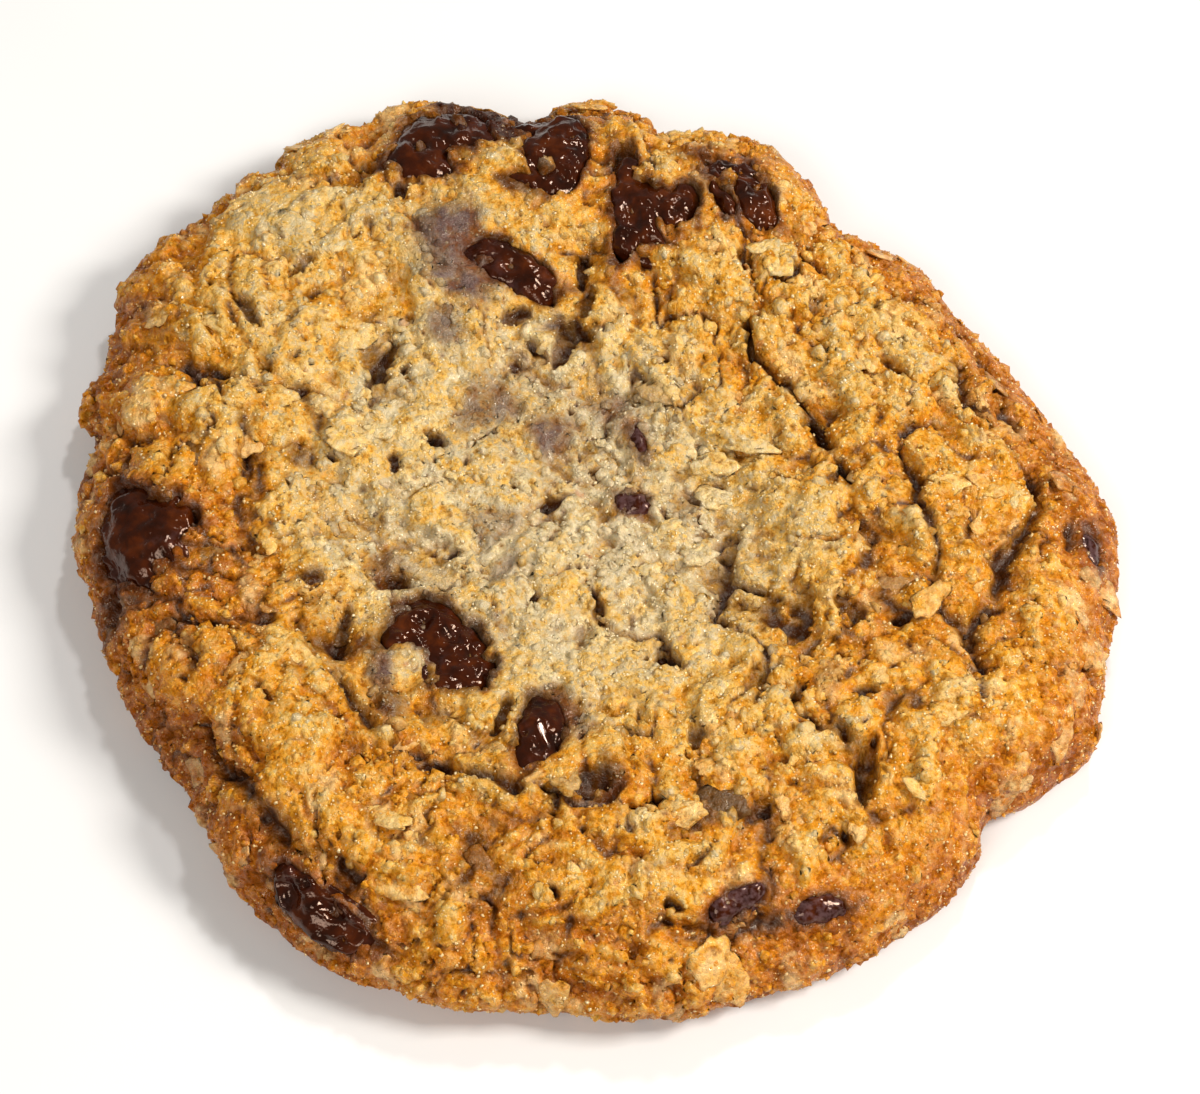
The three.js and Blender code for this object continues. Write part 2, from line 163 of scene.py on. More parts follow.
# Smeared chocolate: x, y, radius, strength.
greySmears = [
    (-12.9, 28.0, 3.0, 1.0), (-11.6, 24.6, 3.3, 1.0), (-9.8, 21.6, 2.4, 0.9), (-12.9, 17.3, 1.9, 0.7),
    (-9.5, 10.6, 3.0, 0.7), (-4.3, 6.9, 2.4, 0.8), (0.8, 9.5, 2.0, 0.7), (2.6, 7.6, 2.4, 0.5),
    (-17.6, -7.4, 2.2, 0.5), (-9.5, -2.4, 1.8, 0.5), (-7.7, -6.6, 1.8, 0.5), (-8.4, -11.3, 1.2, 0.6),
    (-2.2, -21.6, 1.9, 0.8), (-1.6, -24.4, 1.5, 0.6), (-17.8, -16.0, 1.4, 0.8), (8.5, 0.8, 1.8, 0.4),
]
brownSmears = [
    (-6.0, 43.6, 4.4, 1.0), (-7.6, 40.4, 2.4, 0.9), (-11.0, 42.8, 3.2, 1.0), (-9.4, 40.4, 2.4, 0.8),
    (-2.2, 41.8, 2.4, 0.9), (1.9, 36.4, 1.6, 0.9), (8.0, 37.2, 2.0, 0.6), (10.6, 34.6, 2.2, 0.8),
    (2.4, 25.0, 1.5, 0.8), (8.6, 29.6, 1.6, 0.6), (12.6, 30.4, 1.6, 0.8), (-41.8, -9.4, 2.6, 0.7),
    (-37.0, -1.6, 2.0, 0.5), (0.6, -28.4, 1.3, 0.9), (-17.6, -18.6, 1.8, 0.8), (-18.5, -8.5, 1.2, 0.6),
]

farOff = 50.0  # mm, further than anything reaches


def cellValue(i, j, seed):
    # the fraction of a large sine of the cell's whole numbers: a repeatable number from 0 to 1
    wave = np.sin(i * 127.1 + j * 311.7 + seed * 74.7) * 43758.5453
    return wave - np.floor(wave)


def soften(x, low, high):
    # 0 below low, 1 above high and a smooth cubic between
    t = np.clip((x - low) / (high - low), 0, 1)
    return t * t * (3 - 2 * t)


def softNoise(x, y, size, seed):
    # the numbers of cells of this size blended smoothly from corner to corner, from -1 to 1
    x, y = x / size, y / size
    i, j = np.floor(x), np.floor(y)
    s, t = soften(x - i, 0, 1), soften(y - j, 0, 1)
    low = cellValue(i, j, seed) * (1 - s) + cellValue(i + 1, j, seed) * s
    high = cellValue(i, j + 1, seed) * (1 - s) + cellValue(i + 1, j + 1, seed) * s
    return 2 * (low * (1 - t) + high * t) - 1


def layeredNoise(x, y, size, seed, layers=3):
    # soft noise of the given width with finer, weaker layers over it, from about -1 to 1
    total = 0
    for k in range(layers):
        turn = 0.7 * k
        a, b = x * math.cos(turn) - y * math.sin(turn), x * math.sin(turn) + y * math.cos(turn)
        total = total + 0.5**k * softNoise(a * 2**k, b * 2**k, size, seed + k)
    return total / (2 - 0.5 ** (layers - 1))


def foldedNoise(x, y, size, seed, blunt=0.002):
    # soft noise folded at 0: rounded lumps parted by slightly blunt creases
    return np.sqrt(softNoise(x, y, size, seed) ** 2 + blunt)


def scatteredOvals(x, y, size, seed, chance, longest, aspect, edge):
    # ovals scattered one to a cell, each with its own turn and size: 1 inside, fading to 0 over their edge
    x, y = x / size, y / size
    i0, j0 = np.floor(x), np.floor(y)
    cover = np.zeros(x.shape)
    for di in (-1, 0, 1):
        for dj in (-1, 0, 1):
            i, j = i0 + di, j0 + dj
            dx = i + cellValue(i, j, seed) - x
            dy = j + cellValue(i, j, seed + 1) - y
            turn = math.pi * cellValue(i, j, seed + 2)
            half = longest / size / 2 * (0.5 + 0.5 * cellValue(i, j, seed + 3))
            along = (dx * np.cos(turn) + dy * np.sin(turn)) / half
            across = (dy * np.cos(turn) - dx * np.sin(turn)) / (half * aspect)
            inside = 1 - soften(np.hypot(along, across), 1 - edge, 1)
            cover = np.maximum(cover, np.where(cellValue(i, j, seed + 4) < chance, inside, 0))
    return cover


def smoothCurve(points, steps=60):
    # a curve through the points, each stretch a cubic whose ends head along the line between its neighbours
    p = np.array(points, float)
    k = np.arange(len(p) - 1)
    before, start, end, after = p[np.maximum(k - 1, 0)], p[k], p[k + 1], p[np.minimum(k + 2, len(p) - 1)]
    t = (np.arange(steps) / steps)[None, :, None]
    start, end = start[:, None], end[:, None]
    leave, arrive = (end - before[:, None]) / 2, (after[:, None] - start) / 2
    curve = (2 * start - 2 * end + leave + arrive) * t**3 + (3 * end - 3 * start - 2 * leave - arrive) * t**2
    return np.vstack([(curve + leave * t + start).reshape(-1, 2), p[-1]])


meanRadius = form["meanRadius"]
sectionLine = smoothCurve([(share * meanRadius, height) for share, height in form["section"]])
sectionLength = np.concatenate([[0], np.cumsum(np.hypot(*np.diff(sectionLine, axis=0).T))])
surfaceReach = sectionLength[-1]  # mm along the surface from the middle of the top to the edge of the base


def outlineRadius(angle, share):
    # the mean radius, a cosine for each wave and a bell for each lobe, the lobes fading towards the middle
    radius = np.full(np.shape(angle), float(meanRadius))
    for count, height, crest in form["edgeWaves"]:
        radius += height * np.cos(count * (angle - math.radians(crest)))
    for place, half, out in form["edgeLobes"]:
        off = (np.degrees(angle) - place + 180) % 360 - 180
        radius += soften(share, 0.45, 0.85) * out * np.exp(-((off / half) ** 2))
    return radius


def onForm(u, v):
    # a flat point (u, v) laid on the plain form: its distance from the middle runs along the section
    share = np.minimum(np.hypot(u, v) / surfaceReach, 1)
    angle = np.arctan2(v, u)
    out = np.interp(share * surfaceReach, sectionLength, sectionLine[:, 0])
    up = np.interp(share * surfaceReach, sectionLength, sectionLine[:, 1])
    stretch = outlineRadius(angle, share) / meanRadius
    x, y = out * stretch * np.cos(angle), out * stretch * np.sin(angle)
    sunken = form["sunken"]
    away = np.hypot(x - sunken["x"], y - sunken["y"]) / sunken["radius"]
    sink = sunken["depth"] * (1 - soften(away, 0.4, 1.12)) * (share < 0.8)
    return np.stack([x, y, up - sink], -1)


def formNormal(u, v, step=0.2):
    # the way out of the form, from points a small step to each side
    du = onForm(u + step, v) - onForm(u - step, v)
    dv = onForm(u, v + step) - onForm(u, v - step)
    normal = np.cross(du, dv)
    return normal / np.linalg.norm(normal, axis=-1, keepdims=True)


def flatPlace(x, y):
    # the flat point that lies on the form at (x, y), seen from above
    angle = math.atan2(y, x)
    share = np.linspace(0, 0.86, 900)
    points = onForm(share * surfaceReach * math.cos(angle), share * surfaceReach * math.sin(angle))
    found = np.interp(math.hypot(x, y), np.hypot(points[:, 0], points[:, 1]), share) * surfaceReach
    return found * math.cos(angle), found * math.sin(angle)


def lowerPlace(x, y, lower):
    # the flat point that lies at (x, y), moved outwards, which is down the side near the rim
    place = np.array(flatPlace(x, y))
    return tuple(place * (1 + lower / np.hypot(*place)))


for piece in chocolatePieces:
    piece["seed"] = 300 + 7 * chocolatePieces.index(piece)
    piece["margin"] = 0.7  # how far it reaches under the crust's edge
# the small chips are bloomed nearly all over: partly a dusty smear, partly a painted sheen for their gloss
chipLook = {"name": "", "swell": 0.15, "wrinkles": 0.5, "dustAndSheen": 0.9, "cover": [], "margin": 0.4}
chipDepth = 1.8
for x, y, length, width, turn in smallChips:
    chocolatePieces.append({**chipLook, "at": (x, y), "size": (length, width, chipDepth), "turn": turn,
                            "shown": [(x, y, length, width, turn)], "seed": 400 + len(chocolatePieces)})
for piece in chocolatePieces:
    lower = piece.get("lower", 0.0)
    piece["place"] = lowerPlace(*piece["at"], lower)
    piece["openings"] = [(*lowerPlace(x, y, lower), *rest) for x, y, *rest in piece["shown"]]
    piece["covers"] = [(*lowerPlace(x, y, lower), radius) for x, y, radius in piece["cover"]]
flatHollows = [(*flatPlace(x, y), *rest) for x, y, *rest in hollows]
flatGrooves = [(half, depth, [flatPlace(x, y) for x, y in points]) for half, depth, points in grooves]
flatSmears = {
    "grey": [(*flatPlace(x, y), radius, strength) for x, y, radius, strength in greySmears],
    "stain": [(*flatPlace(x, y), radius, strength) for x, y, radius, strength in brownSmears],
}


def distanceToPath(u, v, points):
    # least distance to the straight stretches between the points
    least = np.full(u.shape, np.inf)
    for (au, av), (bu, bv) in zip(points, points[1:]):
        along = ((u - au) * (bu - au) + (v - av) * (bv - av)) / ((bu - au) ** 2 + (bv - av) ** 2)
        along = np.clip(along, 0, 1)
        least = np.minimum(least, np.hypot(u - au - along * (bu - au), v - av - along * (bv - av)))
    return least


def pastOval(u, v, place, length, width, turn, power):
    # about how many mm outside a rounded oblong each point is, less than 0 inside
    du, dv = u - place[0], v - place[1]
    along = np.abs(du * math.cos(turn) + dv * math.sin(turn)) / (length / 2)
    across = np.abs(dv * math.cos(turn) - du * math.sin(turn)) / (width / 2)
    return ((along**power + across**power) ** (1 / power) - 1) * (length + width) / 4


def pastExposedEdge(u, v, piece):
    # mm outside the torn edge within which the chocolate shows: its openings, less covers and stray crumbs
    seed = piece["seed"]
    past = np.full(u.shape, farOff)
    for cu, cv, length, width, turn in piece["openings"]:
        past = np.minimum(past, pastOval(u, v, (cu, cv), length, width, math.radians(turn), 2.4))
    past = past + 0.10 * piece["size"][1] * softNoise(u, v, 3.0, seed)
    past = past + 0.45 * softNoise(u, v, 1.3, seed + 3) + 0.25 * softNoise(u, v, 0.62, seed + 5)
    stray = softNoise(u, v, 1.5, seed + 7) - piece.get("bare", 0.85)
    stray = stray + 0.4 * softNoise(u, v, 0.6, seed + 8)
    past = np.maximum(past, 1.6 * stray)
    for cu, cv, radius in piece["covers"]:
        torn = radius + 0.6 * softNoise(u, v, 1.7, seed + 9) + 0.3 * softNoise(u, v, 0.7, seed + 10)
        past = np.maximum(past, torn - np.hypot(u - cu, v - cv))
    return past


def smearCover(u, v, smears):
    # how strongly the smears cover each flat point: flat-topped bells with torn edges
    cover = np.zeros(u.shape)
    torn = 0.74 + 0.26 * soften(layeredNoise(u, v, 1.3, 121), -0.3, 0.3)
    for cu, cv, radius, strength in smears:
        bell = np.exp(-((np.hypot(u - cu, v - cv) / radius) ** 4))
        cover = np.maximum(cover, 1.25 * strength * torn * bell)
    return np.minimum(cover, 1)


def wanderedPlace(u, v):
    # the flat point pushed about by soft noise of each width, so that no edge runs straight
    gu, gv = u, v
    for size, push, seedU, seedV in relief["wander"]:
        gu = gu + push * softNoise(u, v, size, seedU)
        gv = gv + push * softNoise(u, v, size, seedV)
    return gu, gv


def cutAndSink(height, u, v, gu, gv):
    # takes bells across the grooves' paths, with gaps, and torn ovals at the hollows off the height, and says
    # how much painted shade darkens them: the largest share of one at each point
    groove = np.zeros(u.shape)
    broken = soften(layeredNoise(u, v, 4, 95), -0.45, 0.15)
    uneven = 1 + 0.5 * softNoise(u, v, 3, 99)
    for half, depth, points in flatGrooves:
        away = distanceToPath(gu, gv, points) / (0.8 * half * uneven)
        cut = np.exp(-(away**2)) * broken
        height = height - depth * cut
        groove = np.maximum(groove, cut)
    torn = 0.35 * softNoise(u, v, 0.8, 103) + 0.4 * softNoise(u, v, 2, 105)
    for cu, cv, length, width, turn, depth, paintedShade in flatHollows:
        past = pastOval(u, v, (cu, cv), length, width, math.radians(turn), 2.0)
        sunk = 1 - soften(past + torn, -0.25, 0.12)
        height = height - depth * sunk
        groove = np.maximum(groove, sunk * paintedShade)
    return height, groove


def exposedEdge(u, v):
    # mm outside the nearest torn edge of any piece of chocolate
    exposed = np.full(u.shape, farOff)
    for piece in chocolatePieces:
        exposed = np.minimum(exposed, pastExposedEdge(u, v, piece))
    return exposed


# Ovals scattered over the crust: width of a cell, seed, share of the cells with one, length, width over
# length, and the share of the way out over which the edge fades.
scattered = {
    "oat": (4.6, 81, 0.4, 5.0, 0.55, 0.18),
    "bead": (2.6, 85, 0.5, 2.6, 0.7, 0.6),
    "pit": (4.6, 91, 0.2, 2.0, 0.4, 0.7),
    "pore": (1.6, 97, 0.42, 0.9, 0.6, 0.6),
    "slit": (5.5, 101, 0.5, 4.2, 0.14, 0.8),
    "speck": (6.5, 131, 0.5, 1.5, 0.6, 0.6),
}
relief = {  # widths, heights and depths in mm
    "wander": [(6, 1.7, 21, 23), (1.8, 0.5, 22, 24), (0.8, 0.2, 25, 26)],  # width, push, a seed for each way
    "lumps": [(4.4, 0.66, 0.26, 43), (9.5, 0.66, 0.24, 49)],  # width, height, how much lower they lie, seed
    "rough": 1.2,  # how strongly clusters, lumps and nubs stand up
    "nubs": 0.40, "puffs": 0.95, "roll": 0.3, "folds": 0.24, "oat": 0.16, "bead": 0.26,
    "crack": 0.9, "pit": 1.0, "slit": 0.9, "pore": 0.3,
    "sunk": 0.3,  # how much lower than the plain form the whole crust lies
    "pocket": 2.2,  # depth under the chocolate
    "tallest": 0.57,  # bumps flatten off towards this height
}
bakeAndPaintedLight = {  # from 0 pale to 1 brown, first in the sunken middle, then in the ring; it also paints shade into the middle's lows and the ring's left, and light onto the ring's tops and far left
    "paleRadius": 27,  # mm from the middle of the hollow
    "middle": 0.10, "middleTops": 0.26, "middleLowsPaintedShade": 0.20,
    "ring": 0.70, "ringTopsPaintedLight": 0.24, "ringSmooth": 0.10,
    "rim": 0.27, "byChocolate": 0.18, "left": 0.14, "farLeftPaintedLight": 0.10,
}


def crust(u, v):
    # height of the crust over the plain form, how it is baked and stained, and the light and shade painted on
    # it, at flat points
    share = np.hypot(u, v) / surfaceReach
    angle = np.arctan2(v, u)
    fromMiddle = np.hypot(u - form["sunken"]["x"], v - form["sunken"]["y"]) / bakeAndPaintedLight["paleRadius"]
    fromMiddle = fromMiddle + 0.16 * layeredNoise(u, v, 7, 17)
    middle = 1 - soften(fromMiddle, 0.45, 1.05)
    ring = 1 - middle
    gu, gv = wanderedPlace(u, v)
    # towards the right rim everything is drawn out along the rim, and the rim itself is smooth
    right = soften(u, 8, 32)
    smooth = right * soften(share, 0.72, 0.84)
    wu, wv = gu * (1 + 0.12 * right), gv * (1 - 0.1 * right)
    # crumbly clusters: ragged noise cut into steps, so that they stand up with torn edges
    level = layeredNoise(wu, wv, 6.5, 31, 5)
    clusters = 0.55 * soften(level, -0.16, -0.04) + 0.45 * soften(level, 0.12, 0.24) - 0.62
    # cracks run where a second ragged noise is nearly 0, here and there
    parted = soften(softNoise(u, v, 9, 35) + 0.4 * ring - 0.25 * right, 0.1, 0.6)
    crack = (1 - soften(np.abs(layeredNoise(wu, wv, 9, 37, 5)), 0.0, 0.06)) * parted
    # rounded lumps of two sizes, with creases between them, and nubs of about 2 mm
    lumps = 0
    for size, tall, lower, seed in relief["lumps"]:
        lumps = lumps + (tall * foldedNoise(wu, wv, size, seed) - lower)
    nubs = relief["nubs"] * foldedNoise(gu, gv, 1.7, 51) - 0.10
    nubs += 0.20 * softNoise(u, v, 0.85, 63) * (1 - 0.4 * ring)
    # in the ring there are puffy lumps of about 3 mm between them, and fewer torn edges
    puff = foldedNoise(gu, gv, 3.1, 53, 0.001)
    puffs = (1 - smooth) * ring * (relief["puffs"] * np.minimum(puff, 0.5) - 0.36)
    torn = 0.30 * soften(layeredNoise(gu, gv, 2.8, 57, 4), -0.05, 0.10) - 0.15
    nubs += torn * (1 - 0.3 * ring) + puffs
    # and folds that run along the rim, about 3 mm wide
    folds = softNoise(angle * 5.2 + 0.1 * wu, np.hypot(wu, wv) / 3.3, 1, 71)
    folds = relief["folds"] * folds * soften(share, 0.6, 0.8)
    lumps = lumps * (0.7 + 0.4 * ring) * (1 - 0.5 * smooth)
    clusters, nubs = clusters * (1 - 0.7 * smooth), nubs * (1 - 0.5 * smooth)
    height = relief["roll"] * softNoise(u, v, 21, 3) + relief["rough"] * (clusters + lumps + nubs)
    height = height + folds * (1 + smooth) - relief["crack"] * crack - relief["sunk"]

    oat = scatteredOvals(wu * 0.5 + u * 0.5, wv * 0.5 + v * 0.5, *scattered["oat"])
    bead = scatteredOvals(gu, gv, *scattered["bead"]) * (1 - 0.5 * smooth)
    height += relief["oat"] * oat + relief["bead"] * bead
    pit = scatteredOvals(gu, gv, *scattered["pit"]) * (1 - smooth)
    pore = scatteredOvals(gu, gv, *scattered["pore"]) * (1 - 0.6 * smooth)
    slit = scatteredOvals(gu, gv, *scattered["slit"]) * (1 - right)
    height -= relief["pit"] * pit + relief["slit"] * slit + relief["pore"] * pore
    height, groove = cutAndSink(height, u, v, gu, gv)

    raised = np.clip(0.55 + 0.35 * (lumps + clusters) + 0.8 * nubs, 0, 1)
    tallest = relief["tallest"]
    height = np.where(height > 0, tallest * (1 - np.exp(-np.maximum(height, 0) / tallest)), height)
    height *= 1 - 0.85 * soften(share, 0.9, 0.99)
    # lower and flatter beside the chocolate, and sunk under it
    exposed = exposedEdge(u, v)
    near = 1 - soften(exposed, 0.4, 2.4)
    height = height * (1 - 0.5 * near) + 0.05 * near
    height = height - relief["pocket"] * (1 - soften(exposed, -0.5, 0.15))

    # painted shade: the dark share darkens the colour in the middle's lows, between the nubs, in cracks, in
    # the creases between puffs, in pits, slits and pores, and in grooves and hollows
    low = 1 - soften(raised + 0.15 * softNoise(u, v, 1.3, 117), 0.15, 0.5)
    deep = 1 - soften(nubs + 0.3 * clusters, -0.50, -0.28)
    creases = 0.4 * (1 - smooth) * ring * (1 - soften(puff, 0.03, 0.13))
    dark = 0.25 * low * middle + 0.5 * deep + 0.85 * crack + creases + pit + 0.9 * slit + 0.7 * pore + groove
    dark = np.clip(dark, 0, 1)

    # the middle's tops are baked browner, and its lows are browner with painted shade; the ring's tops are
    # paler with painted light
    tops = soften(raised + 0.35 * layeredNoise(u, v, 4.5, 107), 0.35, 0.85)
    inMiddle = bakeAndPaintedLight["middle"] + bakeAndPaintedLight["middleTops"] * tops + bakeAndPaintedLight["middleLowsPaintedShade"] * low
    inRing = bakeAndPaintedLight["ring"] - bakeAndPaintedLight["ringTopsPaintedLight"] * soften(raised, 0.15, 0.85) + bakeAndPaintedLight["ringSmooth"] * smooth
    bake = inMiddle * middle + inRing * ring + bakeAndPaintedLight["rim"] * soften(share, 0.66, 0.92)
    bake += (0.04 + 0.03 * ring) * layeredNoise(u, v, 9, 111) + 0.06 * softNoise(wu, wv, 1.7, 115)
    bake += bakeAndPaintedLight["byChocolate"] * (1 - soften(exposed, 0, 2.5)) * ring
    # the left of the ring is darker with painted shade, its far left paler with painted light, and the beads
    # are paler too
    bake += (bakeAndPaintedLight["left"] * ring * soften(-1.2 * u - 0.3 * v, 24, 44)
             - bakeAndPaintedLight["farLeftPaintedLight"] * ring * soften(v - u, 16, 44) - (0.05 + 0.07 * ring) * bead)
    melted = 0.92 * (1 - soften(exposed + 0.5 * softNoise(u, v, 1.2, 109), 0.0, 1.3))
    return {
        "height": height,
        "bake": np.clip(bake, 0, 1),
        "dark": dark,
        "oat": oat * (1 - dark),
        "stain": np.maximum(melted, smearCover(gu, gv, flatSmears["stain"])),
        "grey": smearCover(gu, gv, flatSmears["grey"]),
        "speck": scatteredOvals(wu, wv, *scattered["speck"]),
        "exposed": exposed,
    }


def crustPoints(u, v, looks):
    # the plain form moved out along its normal by the crust's height
    return onForm(u, v) + formNormal(u, v) * looks["height"][..., None]


def squareToRing(a, b):
    # rings of the square become rings of the disc: (a, b) from -1 to 1 gives the share of the way out, angle
    wide = np.abs(a) > np.abs(b)
    with np.errstate(divide="ignore", invalid="ignore"):
        side = np.where(a < 0, math.pi, 0) + math.pi / 4 * np.where(wide, b / a, 0)
        ends = np.where(b < 0, 1.5, 0.5) * math.pi - math.pi / 4 * np.where(b == 0, 0, a / b)
    return np.where(wide, np.abs(a), np.abs(b)), np.where(wide, side, ends)


def squareGrid(steps):
    # the corners of steps by steps squares from -1 to 1, and the four corners of each square
    line = np.linspace(-1, 1, steps + 1)
    a, b = np.meshgrid(line, line)
    k = np.arange((steps + 1) ** 2).reshape(steps + 1, steps + 1)
    squares = np.stack([k[:-1, :-1], k[:-1, 1:], k[1:, 1:], k[1:, :-1]], -1).reshape(-1, 4)
    return a.ravel(), b.ravel(), squares


def splitSquares(points, squares):
    # two triangles for each square, parted along its shorter diagonal
    p, q, r, s = squares.T
    along = np.linalg.norm(points[p] - points[r], axis=-1) <= np.linalg.norm(points[q] - points[s], axis=-1)
    first = np.where(along[:, None], np.stack([p, q, r], -1), np.stack([p, q, s], -1))
    second = np.where(along[:, None], np.stack([p, r, s], -1), np.stack([q, r, s], -1))
    return np.concatenate([first, second])


def gridEdge(steps):
    # the corners round the grid's edge, in turn and anticlockwise
    k = np.arange((steps + 1) ** 2).reshape(steps + 1, steps + 1)
    return np.concatenate([k[0, :-1], k[:-1, -1], k[-1, :0:-1], k[:0:-1, 0]])


def padTemplate(steps):
    # a closed pad: two square grids, each wrapped to a disc and bulged to a half ball, joined at their edge
    a, b, squares = squareGrid(steps)
    faces = splitSquares(np.stack([a, b], -1), squares)
    share, angle = squareToRing(a, b)
    out = np.sin(share * math.pi / 2)
    flat = np.stack([out * np.cos(angle), out * np.sin(angle)], -1)
    up = np.sqrt(np.maximum(1 - out**2, 0))
    edge = np.zeros(len(a), bool)
    edge[gridEdge(steps)] = True
    lower = np.where(edge, np.arange(len(a)), 0)
    lower[~edge] = len(a) + np.arange((~edge).sum())
    points = np.vstack([np.column_stack([flat, up]), np.column_stack([flat, -up])[~edge]])
    return points, np.concatenate([faces, lower[faces[:, ::-1]]])


def makeMesh(name, points, faces, looks, material):
    # points in mm; looks are numbers kept at each point for the material to read
    mesh = bpy.data.meshes.new(name)
    mesh.vertices.add(len(points))
    mesh.vertices.foreach_set("co", (points * mm).astype(np.float32).ravel())
    mesh.loops.add(faces.size)
    mesh.loops.foreach_set("vertex_index", faces.astype(np.int32).ravel())
    mesh.polygons.add(len(faces))
    mesh.polygons.foreach_set("loop_start", np.arange(0, faces.size, 3, dtype=np.int32))
    mesh.update(calc_edges=True)
    mesh.polygons.foreach_set("use_smooth", np.ones(len(faces), bool))
    for key, values in looks.items():
        mesh.attributes.new(key, "FLOAT", "POINT").data.foreach_set("value", values.astype(np.float32))
    mesh.materials.append(material)
    made = bpy.data.objects.new(name, mesh)
    bpy.context.collection.objects.link(made)
    return made


def dress(made, node):
    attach(made, "root")
    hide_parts(node)
    print("made", made.name, len(made.data.polygons), "triangles")


lookNames = ("bake", "dark", "oat", "stain", "grey", "speck")
doughGrid = {
    "topSteps": 297,
    "baseSteps": 99,  # a third of the top's, as the strip between them takes three of its squares to one
    "baseReach": 0.975,  # how far the flat base reaches towards the edge of the sides
}


def doughMesh():
    # the top and sides are one wrapped grid and the base another, stitched by a strip of triangles
    steps, baseSteps = doughGrid["topSteps"], doughGrid["baseSteps"]
    a, b, topSquares = squareGrid(steps)
    share, angle = squareToRing(a, b)
    u, v = share * surfaceReach * np.cos(angle), share * surfaceReach * np.sin(angle)
    looks = crust(u, v)
    top = crustPoints(u, v, looks)
    topFaces = splitSquares(top, topSquares)

    a, b, baseSquares = squareGrid(baseSteps)
    share, angle = squareToRing(a, b)
    edgeShare = form["section"][-1][0] * doughGrid["baseReach"]
    out = edgeShare * share * outlineRadius(angle, np.ones(share.shape))
    x, y = out * np.cos(angle), out * np.sin(angle)
    pores = scatteredOvals(x, y, 3.4, 201, 0.7, 2.6, 0.7, 0.6)
    dents = soften(layeredNoise(x, y, 7, 205), 0.1, 0.7)
    up = 0.3 * pores + 0.22 * dents + 0.07 * soften(softNoise(x, y, 1.1, 209), -0.2, 0.8)
    up *= 1 - soften(share, 0.93, 1.0)
    base = np.stack([x, y, up], -1)
    baseFaces = splitSquares(base, baseSquares)
    baseLooks = {key: np.zeros(len(x)) for key in lookNames}
    baseLooks["bake"] = np.clip(0.86 - 0.5 * dents - 0.15 * pores + 0.12 * layeredNoise(x, y, 14, 211), 0, 1)
    baseLooks["dark"] = 0.35 * soften(layeredNoise(x, y, 10, 215), 0.0, 0.8)

    fine = gridEdge(steps)
    coarse = len(top) + gridEdge(baseSteps)
    ratio = steps // baseSteps
    k = np.arange(len(coarse))
    c, cNext = coarse, np.roll(coarse, -1)
    f = [fine[(ratio * k + m) % len(fine)] for m in range(ratio + 1)]
    strip = [(c, f[1], f[0]), (c, f[2], f[1]), (c, cNext, f[2]), (cNext, f[3], f[2])]
    faces = np.concatenate([topFaces, len(top) + baseFaces[:, ::-1]] + [np.stack(t, -1) for t in strip])
    merged = {key: np.concatenate([looks[key], baseLooks[key]]) for key in lookNames}
    return np.vstack([top, base]), faces, merged


def turnedFrames(normals, turns, leans, leanTurns):
    # three axes for each small thing: along and across the crust, and out of it, leant by an angle
    side = np.cross(normals, np.array([0.31, 0.95, 0.05]))
    side /= np.linalg.norm(side, axis=-1, keepdims=True)
    other = np.cross(normals, side)
    lean = side * np.cos(leanTurns)[:, None] + other * np.sin(leanTurns)[:, None]
    out = normals * np.cos(leans)[:, None] + lean * np.sin(leans)[:, None]
    along = side * np.cos(turns)[:, None] + other * np.sin(turns)[:, None]
    along -= out * (along * out).sum(-1, keepdims=True)
    along /= np.linalg.norm(along, axis=-1, keepdims=True)
    return np.stack([along, np.cross(out, along), out], 1)


def scatteredPlaces(count, seed, furthest):
    # flat points spread evenly over the crust, out to a share of its reach
    draw = np.random.default_rng(seed)
    out = surfaceReach * furthest * np.sqrt(draw.random(count))
    angle = 2 * math.pi * draw.random(count)
    return out * np.cos(angle), out * np.sin(angle), draw


def joinedCopies(shapes, faces, sizes, frames, places):
    # every shape is stretched by its sizes, turned into its frame and moved to its place
    points = np.einsum("nvk,nkd->nvd", shapes * sizes[:, None, :], frames) + places[:, None, :]
    shift = points.shape[1] * np.arange(len(points))[:, None, None]
    return points.reshape(-1, 3), (faces[None] + shift).reshape(-1, 3)


oatFlakes = {"count": 240, "longest": 5.2, "shortest": 1.8, "thickness": 0.5, "lean": 18, "seed": 5,
             "reach": 0.93, "offChocolate": 1.2}


